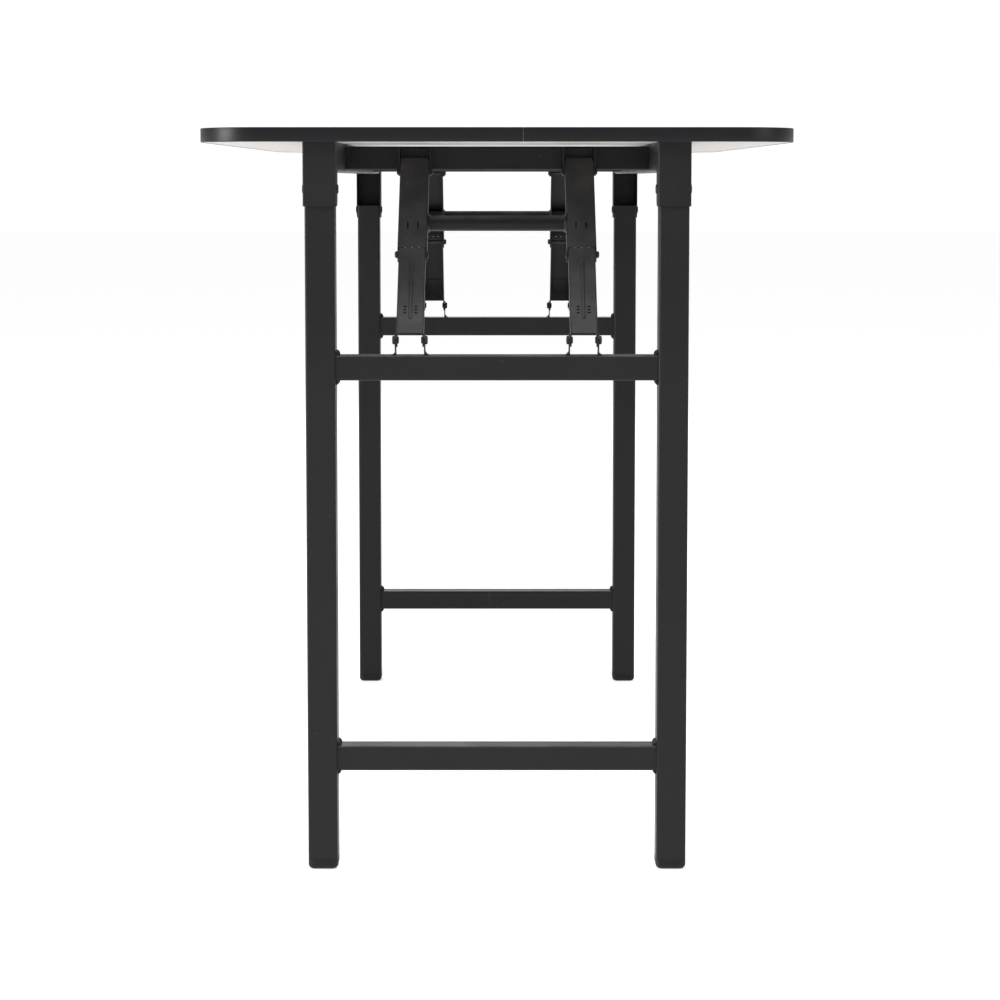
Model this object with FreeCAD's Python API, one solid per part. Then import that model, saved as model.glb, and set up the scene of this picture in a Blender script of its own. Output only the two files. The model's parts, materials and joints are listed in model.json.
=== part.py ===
import FreeCAD, Part
import math
import os

# Folding table: a laminated board on a welded tube frame. A leg frame folds inwards at each end,
# and two elbow braces hold each leg frame upright. The far leg frame hangs on lower pivots, so
# that it folds flat below the near one.
# Frame: millimetres, +Z up, Y along the table, X across it. The origin is on the floor, centred.
# The near end is at -Y and the left side is at -X.

Vec = FreeCAD.Vector

# Whole table
LENGTH = 1000.0
WIDTH = 600.0
HEIGHT = 750.0
OVERCUT = 30.0               # how far cutting shapes run past what they cut
GAP = 0.3                    # free space between parts that move past each other
PIN_PLAY = 0.06              # radial play of a pivot pin in the part that turns on it

# Board
BOARD_T = 14.0
LAMINATE_T = 1.0
BAND_T = 1.2
CORNER_R = 70.0
SEAM_X = 26.0                # where the two ends of the edge band meet, on the near end
SEAM_GAP = 0.4

# Tubes
WALL = 1.2
LEG_SIZE = 30.0
LEG_R = 2.4
RAIL_W = 30.6                # side rails: wide enough to fill the brackets
BAR_SIZE = 25.0
BAR_R = 2.0
LEG_X = 176.5                # leg centre line, each side of the middle
LEG_Y = 470.0                # leg centre line, from the middle of the table
LEG_TOP = 5.4                # leg tube above its pivot
FOOT_H = 10.0
FOOT_TREAD_R = 6.0           # rounding round the bottom of a foot
FOOT_STEM = 22.0             # length of the plug inside the tube
FOOT_WALL = 2.0
LOWER_BAR_Z = 114.0
CROSS_RAIL_Z = 721.0
WELD = 3.2
WELD_L = 18.0

# Leg pivots and their brackets
PIVOT_Z = {"near": 689.0, "far": 657.0}
LEG_PIN_R = 3.0
LEG_HEAD_R = 4.7
LEG_HEAD_H = 1.6
SHEET = 1.2
BRACKET_BELOW = {"near": 17.2, "far": 11.0}
BRACKET_DEPTH = 30.0
BRACKET_OUT = 16.3           # from the pivot to the inside of the bracket's web

# Braces
BRACE_X = 87.0
BRACE_LOW_OUT = 10.0         # lower pivot outside the leg's centre line
BRACE_LOW_Z = {"near": 538.5, "far": 524.0}
BRACE_TOP_Y = {"near": 319.5, "far": 337.0}
BRACE_TOP_Z = 707.0
UPPER_SHARE = 0.508          # upper link's part of the brace's length
BAR_BELOW_PIVOT = 15.5       # upper crossbar's top face below the brace's lower pivot
WEB_OUT = 11.0               # from the line of the pivots to the outside of the web
BACK = 7.0                   # from the line of the pivots to the open edge
LOWER_HALF = 13.7            # half widths over the flanges; the lower link nests in the upper
UPPER_HALF = LOWER_HALF + GAP + SHEET
LUG_T = 1.2
LUG_HALF = LOWER_HALF + GAP + LUG_T
LUG_EYE_R = 6.5
LUG_FOOT = (-8.0, 10.3)      # foot of a lug along the crossbar's top, from its centre line
TOE_OUT = 4.2                # weld at the foot of a lug
TOE_RISE = 3.4
TOE_LIP = 1.1
TOE_WAIST = 1.6
TOE_L = 16.5
TOE_START = 7.0
TIE_R = 8.0                  # round tube that joins the two upper links of an end
TIE_WALL = 1.2
TIE_FROM_KNEE = 42.0
TIE_COLLAR = 2.5             # weld round the tube at each link
TIE_CLEAR = 1.0              # room for the tube in the folded lower link
BACKING_T = 1.0              # plate inside the lower link, behind its slots
BACKING_HALF = 9.5
BACKING_PAST = 4.0
CLIP_T = 2.0
CLIP_HALF = UPPER_HALF + GAP + CLIP_T
CLIP_EYE_R = 4.8
END_R = 8.0
LOW_END_R = 7.0
BRACE_PIN_R = 2.5
KNEE_HEAD_R = 3.2
RIVET_HEAD_R = 4.4
TOP_HEAD_R = 3.4
TOP_HEAD_H = 1.7
KNEE_HEAD_H = 3.0
RIVET_HEAD_H = 2.6
TAIL_R = 3.6
TAIL_H = 1.4
WEB_PAST_TOP = 9.0           # upper web beyond the top pivot
WEB_STRIP = 2.0              # from the line of the pivots to the flange below that end of the web
BUTT_GAP = 0.4               # between the two webs where they meet at the knee
BEND_R = 1.7
NOTCH_W = 1.6
NOTCH_X = 7.0
UPPER_SLOT_W = 1.8
UPPER_SLOT_X = 5.2           # from the middle of the web
UPPER_SLOT_AT = 30.4         # from the knee
LOWER_SLOT_W = 2.8
LOWER_SLOT_X = 5.5
LOWER_SLOT_AT = 30.2         # from the lower pivot
SLOT_L = 11.0
SLOT_BRIDGE = 1.1            # bars that split each lower slot in three
RIB_R = 2.4
RIB_RISE = 1.0
RIB_FROM_ENDS = 20.0
FOLDED_GAP = {"near": 13.7, "far": 29.9}   # degrees between the links of a folded brace
TIE_UP = WEB_OUT - SHEET - TIE_R           # the tie tube lies against the inside of the web

# Screws that hold the side rails to the board. Each is driven through a wide hole in the
# rail's lower wall, and its head clamps the upper wall.
SCREW_R = 2.0
SCREW_HEAD_R = 4.2
SCREW_HEAD_H = 2.2
SCREW_INTO_BOARD = 9.0
SCREW_Y = (-430.0, -145.0, 145.0, 430.0)
DRIVER_HOLE_R = 5.0

BOARD_BOTTOM = HEIGHT - BOARD_T
RAIL_BOTTOM = BOARD_BOTTOM - LEG_SIZE
RAIL_INNER = LEG_X - RAIL_W / 2
SCREW_SEAT = BOARD_BOTTOM - WALL
SIDES = (("left", -1.0), ("right", 1.0))
ENDS = (("near", -1.0), ("far", 1.0))

os.makedirs("parts", exist_ok=True)


def save(name, solids):
    """Writes one node: a solid, or a group of separate solids."""
    shape = solids if not isinstance(solids, list) else Part.makeCompound(solids)
    shape.exportStep("parts/" + name + ".step")


def block(x0, x1, y0, y1, z0, z1):
    low = Vec(min(x0, x1), min(y0, y1), min(z0, z1))
    return Part.makeBox(abs(x1 - x0), abs(y1 - y0), abs(z1 - z0), low)


def edges_along(shape, axis):
    """The straight edges that run along one axis."""
    found = []
    for edge in shape.Edges:
        ends = edge.Vertexes
        if len(ends) == 2:
            step = ends[1].Point - ends[0].Point
            if step.Length > 0 and abs(abs(step.dot(axis)) / step.Length - 1) < 1e-6:
                found.append(edge)
    return found


def rounded_bar(x0, x1, y0, y1, z0, z1, axis, radius):
    body = block(x0, x1, y0, y1, z0, z1)
    return body.makeFillet(radius, edges_along(body, axis))


def square_tube(x0, x1, y0, y1, z0, z1, axis, radius):
    """A tube that fills the given box, runs along the given axis and is open at both ends."""
    wall = Vec(WALL, WALL, WALL) - axis * WALL
    outer = rounded_bar(x0, x1, y0, y1, z0, z1, axis, radius)
    inner = rounded_bar(x0 + wall.x, x1 - wall.x, y0 + wall.y, y1 - wall.y,
                        z0 + wall.z, z1 - wall.z, axis, radius - WALL * 0.8)
    return outer.cut(inner)


def rod_x(x0, x1, y, z, radius):
    low = min(x0, x1)
    return Part.makeCylinder(radius, abs(x1 - x0), Vec(low, y, z), Vec(1, 0, 0))


def dome_x(x, toward, y, z, radius, height):
    """A low domed rivet head that stands on the plane x and points along +X or -X."""
    head = Part.makeCylinder(radius, height, Vec(x, y, z), Vec(toward, 0, 0))
    rim = [e for e in head.Edges if e.Length > radius and abs(e.BoundBox.XMin - x) > height / 2
           and e.BoundBox.XLength < 1e-6]
    return head.makeFillet(height * 0.62, rim)


# ---------------------------------------------------------------- board

def board_plate(inset, z0, z1):
    """The board's outline, pulled in by inset on every side, from z0 up to z1."""
    hx = WIDTH / 2 - inset
    hy = LENGTH / 2 - inset
    body = block(-hx, hx, -hy, hy, z0, z1)
    return body.makeFillet(CORNER_R - inset, edges_along(body, Vec(0, 0, 1)))


def drill(shape, radius, z0, z1):
    """Cuts one upright hole for each screw."""
    for side, sx in SIDES:
        for y in SCREW_Y:
            shape = shape.cut(Part.makeCylinder(radius, z1 - z0, Vec(sx * LEG_X, y, z0)))
    return shape


def make_board():
    core_low = BOARD_BOTTOM + LAMINATE_T
    core_high = HEIGHT - LAMINATE_T
    screw_top = BOARD_BOTTOM + SCREW_INTO_BOARD
    core = drill(board_plate(BAND_T, core_low, core_high), SCREW_R, core_low, screw_top)
    save("board_core", core)
    save("top_laminate", board_plate(BAND_T, core_high, HEIGHT))
    bottom = board_plate(BAND_T, BOARD_BOTTOM, core_low)
    save("bottom_laminate", drill(bottom, SCREW_R, BOARD_BOTTOM, core_low))
    band = board_plate(0, BOARD_BOTTOM, HEIGHT).cut(board_plate(BAND_T, BOARD_BOTTOM, HEIGHT))
    seam = block(SEAM_X - SEAM_GAP / 2, SEAM_X + SEAM_GAP / 2,
                 -LENGTH / 2 - 1, -LENGTH / 2 + 5, BOARD_BOTTOM, HEIGHT)
    save("edge_band", band.cut(seam))


# ---------------------------------------------------------------- frame under the board

def make_rails():
    end_y = LEG_Y + LEG_SIZE / 2
    for side, sx in SIDES:
        x = sx * LEG_X
        rail = square_tube(x - RAIL_W / 2, x + RAIL_W / 2, -end_y, end_y,
                           RAIL_BOTTOM, BOARD_BOTTOM, Vec(0, 1, 0), LEG_R)
        rail = drill(rail, SCREW_R, SCREW_SEAT - 1, BOARD_BOTTOM + 1)
        save("side_rail_" + side, drill(rail, DRIVER_HOLE_R, RAIL_BOTTOM - 1, RAIL_BOTTOM + 3))
    h = BAR_SIZE / 2
    for end, sy in ENDS:
        y = sy * (BRACE_TOP_Y[end] - BAR_SIZE)
        save(end + "_cross_rail", square_tube(-RAIL_INNER, RAIL_INNER, y - h, y + h,
                                              CROSS_RAIL_Z - h, CROSS_RAIL_Z + h,
                                              Vec(1, 0, 0), BAR_R))


def make_screws():
    screws = []
    for side, sx in SIDES:
        for y in SCREW_Y:
            x = sx * LEG_X
            length = WALL + SCREW_INTO_BOARD
            shank = Part.makeCylinder(SCREW_R, length, Vec(x, y, SCREW_SEAT))
            under = SCREW_SEAT - SCREW_HEAD_H
            head = Part.makeCylinder(SCREW_HEAD_R, SCREW_HEAD_H, Vec(x, y, under))
            rim = [e for e in head.Edges if e.BoundBox.ZMax < under + 1e-6]
            head = head.makeFillet(SCREW_HEAD_H * 0.6, rim)
            for dx, dy in ((2.6, 0.5), (0.5, 2.6)):
                head = head.cut(block(x - dx, x + dx, y - dy, y + dy, under, under + 1.2))
            screws.append(shank.fuse(head).removeSplitter())
    save("frame_screws", screws)


def make_leg_bracket(end, sy, side, sx):
    """A folded sheet that closes round the rail's end and the top of the leg on three sides."""
    half = LEG_SIZE / 2 + GAP
    back = LEG_Y + BRACKET_OUT + SHEET
    front = back - BRACKET_DEPTH
    low = PIVOT_Z[end] - BRACKET_BELOW[end]
    x = sx * LEG_X
    outer = block(x - half - SHEET, x + half + SHEET, sy * front, sy * back, low, BOARD_BOTTOM)
    bends = [e for e in edges_along(outer, Vec(0, 0, 1))
             if abs(e.CenterOfMass.y - sy * back) < 1e-6]
    outer = outer.makeFillet(SHEET * 1.5, bends)
    inner = block(x - half, x + half, sy * (front - 1), sy * (back - SHEET), low - 1, BOARD_BOTTOM + 1)
    body = outer.cut(inner)
    nose = [e for e in edges_along(body, Vec(1, 0, 0))
            if abs(e.CenterOfMass.y - sy * front) < 1e-6 and abs(e.CenterOfMass.z - low) < 1e-6]
    body = body.makeFillet(9.0, nose)
    pin = rod_x(x - 30, x + 30, sy * LEG_Y, PIVOT_Z[end], LEG_PIN_R)
    save(end + "_" + side + "_leg_bracket", body.cut(pin))


def make_leg_pins(end, sy):
    pins = []
    reach = LEG_SIZE / 2 + GAP + SHEET
    for side, sx in SIDES:
        x = sx * LEG_X
        y = sy * LEG_Y
        pin = rod_x(x - reach, x + reach, y, PIVOT_Z[end], LEG_PIN_R)
        for toward in (-1, 1):
            head = dome_x(x + toward * reach, toward, y, PIVOT_Z[end], LEG_HEAD_R, LEG_HEAD_H)
            pin = pin.fuse(head)
        pins.append(pin.removeSplitter())
    save(end + "_leg_pins", pins)


def make_brace_clip(end, sy, side, sx):
    """A U-shaped clip on the cross rail, whose ears hold the top pin of a brace."""
    x = sx * BRACE_X
    pin_y = sy * BRACE_TOP_Y[end]
    face = BRACE_TOP_Y[end] - BAR_SIZE / 2
    low = CROSS_RAIL_Z - BAR_SIZE / 2 + BAR_R
    top = CROSS_RAIL_Z + BAR_SIZE / 2 - BAR_R
    body = block(x - CLIP_HALF, x + CLIP_HALF, sy * face, sy * (face + CLIP_T), low, top)
    for toward in (-1, 1):
        x_in = x + toward * (UPPER_HALF + GAP)
        x_out = x + toward * CLIP_HALF
        eye = rod_x(x_in, x_out, pin_y, BRACE_TOP_Z, CLIP_EYE_R)
        arm = block(x_in, x_out, sy * face, pin_y, BRACE_TOP_Z - CLIP_EYE_R, top)
        edge = block(x_in, x_out, pin_y, pin_y + sy * CLIP_EYE_R, BRACE_TOP_Z, top)
        body = body.fuse(arm).fuse(eye).fuse(edge)
    pin = rod_x(x - OVERCUT, x + OVERCUT, pin_y, BRACE_TOP_Z, BRACE_PIN_R)
    save(end + "_" + side + "_brace_clip", body.removeSplitter().cut(pin))


def make_top_pins(end, sy):
    pins = []
    y = sy * BRACE_TOP_Y[end]
    for side, sx in SIDES:
        x = sx * BRACE_X
        pin = rod_x(x - CLIP_HALF, x + CLIP_HALF, y, BRACE_TOP_Z, BRACE_PIN_R)
        for toward in (-1, 1):
            pin = pin.fuse(dome_x(x + toward * CLIP_HALF, toward, y, BRACE_TOP_Z, TOP_HEAD_R, TOP_HEAD_H))
        pins.append(pin.removeSplitter())
    save(end + "_brace_top_pins", pins)


# ---------------------------------------------------------------- leg frames

def upper_bar_z(end):
    return BRACE_LOW_Z[end] - BAR_BELOW_PIVOT - BAR_SIZE / 2


def make_legs(end, sy):
    y = sy * LEG_Y
    h = LEG_SIZE / 2
    feet = []
    for side, sx in SIDES:
        x = sx * LEG_X
        leg = square_tube(x - h, x + h, y - h, y + h, FOOT_H, PIVOT_Z[end] + LEG_TOP,
                          Vec(0, 0, 1), LEG_R)
        hole = rod_x(x - OVERCUT, x + OVERCUT, y, PIVOT_Z[end], LEG_PIN_R + PIN_PLAY)
        save(end + "_" + side + "_leg", leg.cut(hole))
        feet.append(make_foot(x, y))
    save(end + "_feet", feet)


def make_foot(x, y):
    """A moulded plug: a cap with a rounded tread, and a hollow stem pushed up into the tube."""
    h = LEG_SIZE / 2 + 0.3
    cap = rounded_bar(x - h, x + h, y - h, y + h, 0, FOOT_H, Vec(0, 0, 1), FOOT_TREAD_R / 1.5)
    cap = cap.makeFillet(FOOT_TREAD_R, [e for e in cap.Edges if e.BoundBox.ZMax < 1e-6])
    k = LEG_SIZE / 2 - WALL
    top = FOOT_H + FOOT_STEM
    stem_r = LEG_R - WALL * 0.8
    stem = rounded_bar(x - k, x + k, y - k, y + k, FOOT_H - 1, top, Vec(0, 0, 1), stem_r)
    m = k - FOOT_WALL
    well = block(x - m, x + m, y - m, y + m, FOOT_H + 1, top + 1)
    return cap.fuse(stem).cut(well).removeSplitter()


def make_crossbars(end, sy):
    inner = LEG_X - LEG_SIZE / 2
    h = BAR_SIZE / 2
    y = sy * LEG_Y
    welds = []
    for name, z in (("_upper_crossbar", upper_bar_z(end)), ("_lower_crossbar", LOWER_BAR_Z)):
        save(end + name, square_tube(-inner, inner, y - h, y + h, z - h, z + h,
                                     Vec(1, 0, 0), BAR_R))
        for sx in (-1, 1):
            for up in (-1, 1):
                corner = Vec(sx * inner, y - WELD_L / 2, z + up * h)
                along = corner + Vec(-sx * WELD, 0, 0)
                rise = corner + Vec(0, 0, up * WELD)
                fillet = Part.Face(Part.makePolygon([corner, along, rise, corner]))
                welds.append(fillet.extrude(Vec(0, WELD_L, 0)))
    save(end + "_welds", welds)


def make_lugs(end, sy):
    """Four thin plates welded on the upper crossbar, one outside each flange of the braces."""
    bar_top = BRACE_LOW_Z[end] - BAR_BELOW_PIVOT
    y = sy * (LEG_Y + BRACE_LOW_OUT)
    z = BRACE_LOW_Z[end]
    lugs = []
    rivets = []
    for side, sx in SIDES:
        for toward in (-1, 1):
            x_in = sx * BRACE_X + toward * (LUG_HALF - LUG_T)
            x_out = sx * BRACE_X + toward * LUG_HALF
            points = [Vec(x_in, sy * (LEG_Y + LUG_FOOT[1]), bar_top),
                      Vec(x_in, y + sy * LUG_EYE_R, z), Vec(x_in, y - sy * LUG_EYE_R, z),
                      Vec(x_in, sy * (LEG_Y + LUG_FOOT[0]), bar_top)]
            plate = Part.Face(Part.makePolygon(points + points[:1]))
            plate = plate.extrude(Vec(x_out - x_in, 0, 0))
            plate = plate.fuse(rod_x(x_in, x_out, y, z, LUG_EYE_R))
            toe = [Vec(x_out, 0, bar_top), Vec(x_out + toward * TOE_OUT, 0, bar_top),
                   Vec(x_out + toward * TOE_WAIST, 0, bar_top + TOE_LIP),
                   Vec(x_out, 0, bar_top + TOE_RISE)]
            toe = [p + Vec(0, sy * (LEG_Y - TOE_START), 0) for p in toe]
            bead = Part.Face(Part.makePolygon(toe + toe[:1])).extrude(Vec(0, sy * TOE_L, 0))
            plate = plate.fuse(bead).removeSplitter()
            hole = rod_x(x_in, x_out, y, z, BRACE_PIN_R)
            lugs.append(plate.cut(hole))
            shank = rod_x(x_in, x_out, y, z, BRACE_PIN_R)
            head = dome_x(x_out, toward, y, z, RIVET_HEAD_R, RIVET_HEAD_H)
            rivets.append(shank.fuse(head).removeSplitter())
    save(end + "_brace_lugs", lugs)
    save(end + "_lug_rivets", rivets)


# ---------------------------------------------------------------- braces
# A link is drawn with its first pivot at the origin, its length along +X, its web on the +Y side
# and its width along Z, and is then set in its place.

def link_body(length, half, web_from, web_to, r_first, r_last):
    """A sheet folded to a U: a web on the +Y side and two flanges with rounded ends."""
    side = Part.makeBox(length, BACK + WEB_OUT, 2 * half, Vec(0, -BACK, -half))
    for at, radius in ((0, r_first), (length, r_last)):
        side = side.fuse(Part.makeCylinder(radius, 2 * half, Vec(at, 0, -half)))
    strip = WEB_OUT - WEB_STRIP
    side = side.fuse(Part.makeBox(length - web_from, strip, 2 * half,
                                  Vec(web_from, WEB_STRIP, -half)))
    side = side.removeSplitter()
    bends = [e for e in edges_along(side, Vec(1, 0, 0)) if e.CenterOfMass.y > WEB_OUT - 1e-6]
    side = side.makeFillet(BEND_R, bends)
    k = half - SHEET
    room = Part.makeBox(length + 2 * OVERCUT, OVERCUT + WEB_OUT - SHEET, 2 * k,
                        Vec(-OVERCUT, -OVERCUT, -k))
    side = side.cut(room)
    for x0, x1 in ((-OVERCUT, web_from), (web_to, length + OVERCUT)):
        side = side.cut(Part.makeBox(x1 - x0, 2 * SHEET, 4 * half, Vec(x0, WEB_OUT - SHEET, -2 * half)))
    return side


def slot_box(x0, length, z, width):
    return Part.makeBox(length, 3 * SHEET, width, Vec(x0, WEB_OUT - 2 * SHEET, z - width / 2))


def pin_hole(at, radius):
    return Part.makeCylinder(radius, 2 * OVERCUT, Vec(at, 0, -OVERCUT))


def upper_link(length, inward):
    """inward is the side, +1 or -1 along Z, on which the other brace stands."""
    end = length - BUTT_GAP / 2
    link = link_body(length, UPPER_HALF, -WEB_PAST_TOP, end, END_R, END_R)
    for z in (-UPPER_SLOT_X, UPPER_SLOT_X):
        start = length - UPPER_SLOT_AT - SLOT_L / 2
        link = link.cut(slot_box(start, SLOT_L, z, UPPER_SLOT_W))
    for z in (-NOTCH_X, 0, NOTCH_X):
        link = link.cut(slot_box(end - NOTCH_W / 2, NOTCH_W, z, NOTCH_W))
    for at in (0, length):
        link = link.cut(pin_hole(at, BRACE_PIN_R + PIN_PLAY))
    return link.cut(tie_bore(length, inward))


def tie_bore(length, inward):
    """The hole for the tie tube, through the inner flange and up against the web."""
    low = inward * SHEET - UPPER_HALF
    return Part.makeCylinder(TIE_R, 2 * UPPER_HALF, Vec(length - TIE_FROM_KNEE, TIE_UP, low))


def lower_link(length, fold):
    """fold is the angle in degrees between the two links when the legs are folded."""
    link = link_body(length, LOWER_HALF, BUTT_GAP / 2, length, END_R, LOW_END_R)
    opening = (SLOT_L - 2 * SLOT_BRIDGE) / 3
    for z in (-LOWER_SLOT_X, LOWER_SLOT_X):
        start = length - LOWER_SLOT_AT - SLOT_L / 2
        for i in range(3):
            link = link.cut(slot_box(start + i * (opening + SLOT_BRIDGE), opening, z, LOWER_SLOT_W))
    link = link.fuse(rib(RIB_FROM_ENDS, length - RIB_FROM_ENDS)).removeSplitter()
    for at in (0, length):
        link = link.cut(pin_hole(at, BRACE_PIN_R))
    return link.cut(tie_scallop(fold))


def tie_scallop(fold):
    """Room in the open edge of the lower link for the tie tube when the links lie together."""
    angle = math.radians(fold)
    x = TIE_FROM_KNEE * math.cos(angle) - TIE_UP * math.sin(angle)
    y = -TIE_FROM_KNEE * math.sin(angle) - TIE_UP * math.cos(angle)
    return Part.makeCylinder(TIE_R + TIE_CLEAR, 2 * OVERCUT, Vec(x, y, -OVERCUT))


def backing_plate(length):
    """A plate that closes the slots of the lower link from inside."""
    start = length - LOWER_SLOT_AT - SLOT_L / 2 - BACKING_PAST
    return Part.makeBox(SLOT_L + 2 * BACKING_PAST, BACKING_T, 2 * BACKING_HALF,
                        Vec(start, WEB_OUT - SHEET - BACKING_T, -BACKING_HALF))


def make_tie(end, knee, top):
    """The round tube that joins the upper links of an end, with a weld collar at each."""
    along = (top - knee).normalize()
    web = Vec(0, -along.z, along.y)
    if web.z < 0:
        web = web.negative()
    centre = knee + along * TIE_FROM_KNEE + web * TIE_UP
    reach = BRACE_X + UPPER_HALF - SHEET
    tube = rod_x(-reach, reach, centre.y, centre.z, TIE_R)
    face = BRACE_X - UPPER_HALF
    for sx in (-1, 1):
        tube = tube.fuse(Part.makeCone(TIE_R + TIE_COLLAR, TIE_R, TIE_COLLAR,
                                       Vec(sx * face, centre.y, centre.z), Vec(-sx, 0, 0)))
    bore = rod_x(-reach, reach, centre.y, centre.z, TIE_R - TIE_WALL)
    save(end + "_brace_tie", tube.removeSplitter().cut(bore))


def rib(x0, x1):
    """A low round-topped rib along the middle of the web."""
    y = WEB_OUT + RIB_RISE - RIB_R
    bar = Part.makeCylinder(RIB_R, x1 - x0, Vec(x0, y, 0), Vec(1, 0, 0))
    for at in (x0, x1):
        bar = bar.fuse(Part.makeSphere(RIB_R, Vec(at, y, 0)))
    low = WEB_OUT - SHEET / 2
    return bar.removeSplitter().common(Part.makeBox(x1 - x0 + 20, 10, 20, Vec(x0 - 10, low, -10)))


def place_link(shape, start, stop, side_x):
    """Turns a link so that it runs from start to stop, with its web facing up and outwards."""
    along = (stop - start).normalize()
    across = Vec(1, 0, 0)
    web = across.cross(along)
    if web.z < 0:
        web = web.negative()
    width = along.cross(web)
    m = FreeCAD.Matrix(along.x, web.x, width.x, start.x + side_x,
                       along.y, web.y, width.y, start.y,
                       along.z, web.z, width.z, start.z, 0, 0, 0, 1)
    return shape.transformed(m)


def brace_line(end, sy):
    """The knee, the top pivot and the lower pivot of a brace."""
    top = Vec(0, sy * BRACE_TOP_Y[end], BRACE_TOP_Z)
    low = Vec(0, sy * (LEG_Y + BRACE_LOW_OUT), BRACE_LOW_Z[end])
    return top + (low - top) * UPPER_SHARE, top, low


def make_brace(end, sy, side, sx):
    knee, top, low = brace_line(end, sy)
    upper_l = (knee - top).Length
    lower_l = (low - knee).Length
    x = sx * BRACE_X
    name = end + "_" + side + "_brace_"

    save(name + "upper_link", place_link(upper_link(upper_l, -sx * sy), top, knee, x))
    save(name + "lower_link", place_link(lower_link(lower_l, FOLDED_GAP[end]), knee, low, x))
    save(name + "backing_plate", place_link(backing_plate(lower_l), knee, low, x))

    head_side = sx * (-sy)
    pin = rod_x(x - UPPER_HALF, x + UPPER_HALF, knee.y, knee.z, BRACE_PIN_R)
    pin = pin.fuse(dome_x(x + head_side * UPPER_HALF, head_side, knee.y, knee.z,
                          KNEE_HEAD_R, KNEE_HEAD_H))
    pin = pin.fuse(dome_x(x - head_side * UPPER_HALF, -head_side, knee.y, knee.z,
                          TAIL_R, TAIL_H))
    save(name + "knee_pin", pin.removeSplitter())

    tails = []
    for toward in (-1, 1):
        x_face = x + toward * LOWER_HALF
        x_in = x + toward * (LOWER_HALF - SHEET)
        tail = rod_x(x_face, x_in, low.y, low.z, BRACE_PIN_R)
        tail = tail.fuse(dome_x(x_in, -toward, low.y, low.z, TAIL_R, TAIL_H))
        tails.append(tail.removeSplitter())
    save(name + "rivet_tails", tails)


make_board()
make_rails()
make_screws()
for end, sy in ENDS:
    make_leg_pins(end, sy)
    make_top_pins(end, sy)
    make_legs(end, sy)
    make_crossbars(end, sy)
    make_lugs(end, sy)
    for side, sx in SIDES:
        make_leg_bracket(end, sy, side, sx)
        make_brace_clip(end, sy, side, sx)
        make_brace(end, sy, side, sx)
    make_tie(end, *brace_line(end, sy)[:2])
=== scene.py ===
import bpy
import bmesh
import json
import math
import random
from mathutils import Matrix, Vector


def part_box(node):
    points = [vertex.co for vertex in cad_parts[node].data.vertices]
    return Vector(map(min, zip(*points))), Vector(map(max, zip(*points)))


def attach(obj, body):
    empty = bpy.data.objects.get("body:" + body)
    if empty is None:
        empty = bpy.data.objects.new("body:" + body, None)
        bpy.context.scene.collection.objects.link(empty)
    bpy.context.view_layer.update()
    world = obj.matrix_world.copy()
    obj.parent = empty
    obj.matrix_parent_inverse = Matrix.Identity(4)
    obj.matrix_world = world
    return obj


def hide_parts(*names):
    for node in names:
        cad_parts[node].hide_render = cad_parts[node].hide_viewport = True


bl_info = {
    "name": "Folding Table Finisher",
    "version": (1, 0, 0),
    "blender": (4, 5, 0),
    "location": "View3D > Sidebar > Table",
    "description": "Dresses a folding table: edge band, foot caps, weld beads, rivets and finishes",
    "category": "Object",
}

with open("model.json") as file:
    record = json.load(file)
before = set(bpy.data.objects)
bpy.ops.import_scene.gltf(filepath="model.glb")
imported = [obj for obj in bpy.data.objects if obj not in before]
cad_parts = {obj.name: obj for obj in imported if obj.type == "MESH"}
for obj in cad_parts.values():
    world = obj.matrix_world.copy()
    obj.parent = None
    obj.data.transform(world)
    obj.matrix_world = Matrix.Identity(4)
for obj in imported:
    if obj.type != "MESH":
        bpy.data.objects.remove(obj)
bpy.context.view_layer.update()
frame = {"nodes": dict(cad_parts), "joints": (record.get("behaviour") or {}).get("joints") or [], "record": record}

JOINTS = {joint["name"]: joint for joint in frame["joints"]}
ENDS = ("near", "far")
SIDES = ("left", "right")

TOUCH = 1e-6            # two places closer than this, in metres, are one place
LINK_SHEET = 0.0012     # sheet that the brace links are folded from
LUG_PLATE = 0.0012      # plate of the lugs on the upper crossbars
TAIL_RISE = 0.0014      # height of the rivet tails inside the lower links

MIX_FACTOR, MIX_FIRST, MIX_SECOND = 0, 6, 7     # inputs of a Mix node that mixes colours
MIX_RESULT = 2                                  # its colour output

# colour of the real dust specks and of the painted highlight on faces that look up
DUST_AND_HIGHLIGHT_COLOUR = (0.30, 0.29, 0.28)
WORN_STEEL = (0.16, 0.155, 0.15)
SCUFFED_PLASTIC = (0.095, 0.092, 0.088)
YELLOWED_ZINC = (0.55, 0.53, 0.44)


# ---------------------------------------------------------------- settings

def length_setting(name, description, default):
    return bpy.props.FloatProperty(name=name, description=description, default=default,
                                   min=0.0, unit="LENGTH", subtype="DISTANCE", precision=5)


def colour_setting(name, description, default):
    return bpy.props.FloatVectorProperty(name=name, description=description, default=default,
                                         size=3, min=0.0, max=1.0, subtype="COLOR")


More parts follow.
